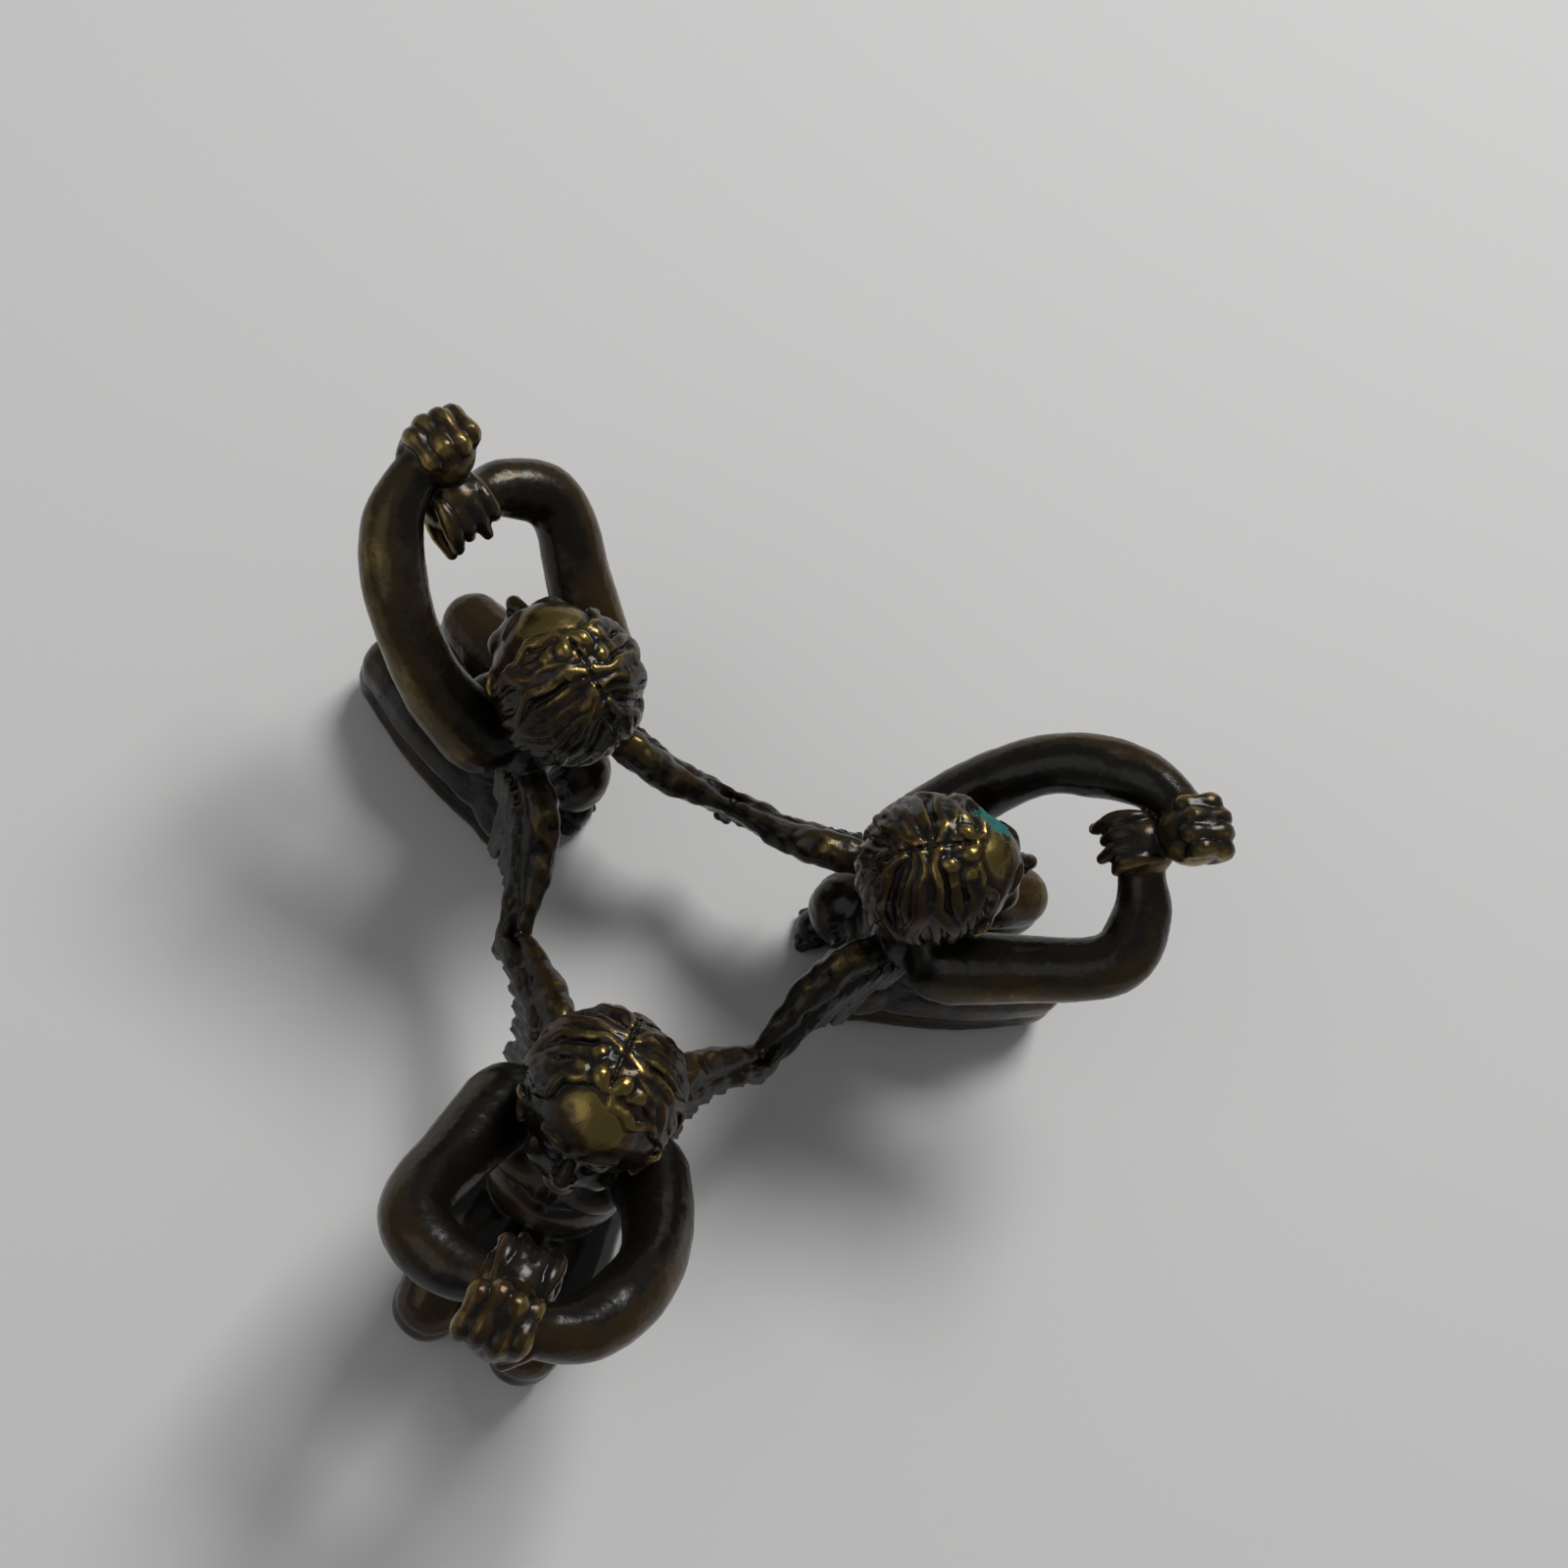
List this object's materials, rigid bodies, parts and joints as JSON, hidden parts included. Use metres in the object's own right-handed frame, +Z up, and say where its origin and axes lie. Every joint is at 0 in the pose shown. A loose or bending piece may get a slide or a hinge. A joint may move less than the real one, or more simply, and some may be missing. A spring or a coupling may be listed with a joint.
{
  "type": "figural ball stand",
  "caption": "Small patinated bronze stand of kneeling winged figures facing out, joined wing tip to wing tip, arms raised.",
  "frame": {"origin": "under the middle of the bounding box, on the surface that the stand rests on", "axes": "+Z up, +X the way the right-hand figure faces, +Y to that figure's left"},
  "size_m": [0.0566, 0.061, 0.0307],
  "materials": {
    "body_bronze": "cast bronze with a dark brown patina, rubbed lighter on the high spots",
    "head_bronze": "cast bronze, brown patina in the hair grooves, rubbed to brass on forehead and locks",
    "arm_bronze": "cast bronze with brown patina, rubbed to brass on the knuckles and outer arm",
    "wing_bronze": "cast bronze with brown patina, rubbed along the leading edge",
    "braze": "dull brazing bead, patinated"
  },
  "bodies": {
    "root": {"figure_a_body": "body_bronze", "figure_a_head": "head_bronze", "figure_a_left_arm": "arm_bronze", "figure_a_right_arm": "arm_bronze", "figure_a_left_wing": "wing_bronze", "figure_a_right_wing": "wing_bronze", "figure_b_body": "body_bronze", "figure_b_head": "head_bronze", "figure_b_left_arm": "arm_bronze", "figure_b_right_arm": "arm_bronze", "figure_b_left_wing": "wing_bronze", "figure_b_right_wing": "wing_bronze", "figure_c_body": "body_bronze", "figure_c_head": "head_bronze", "figure_c_left_arm": "arm_bronze", "figure_c_right_arm": "arm_bronze", "figure_c_left_wing": "wing_bronze", "figure_c_right_wing": "wing_bronze", "wing_tip_bead_ba": "braze", "wing_tip_bead_ac": "braze", "wing_tip_bead_cb": "braze"}
  },
  "joints": []
}
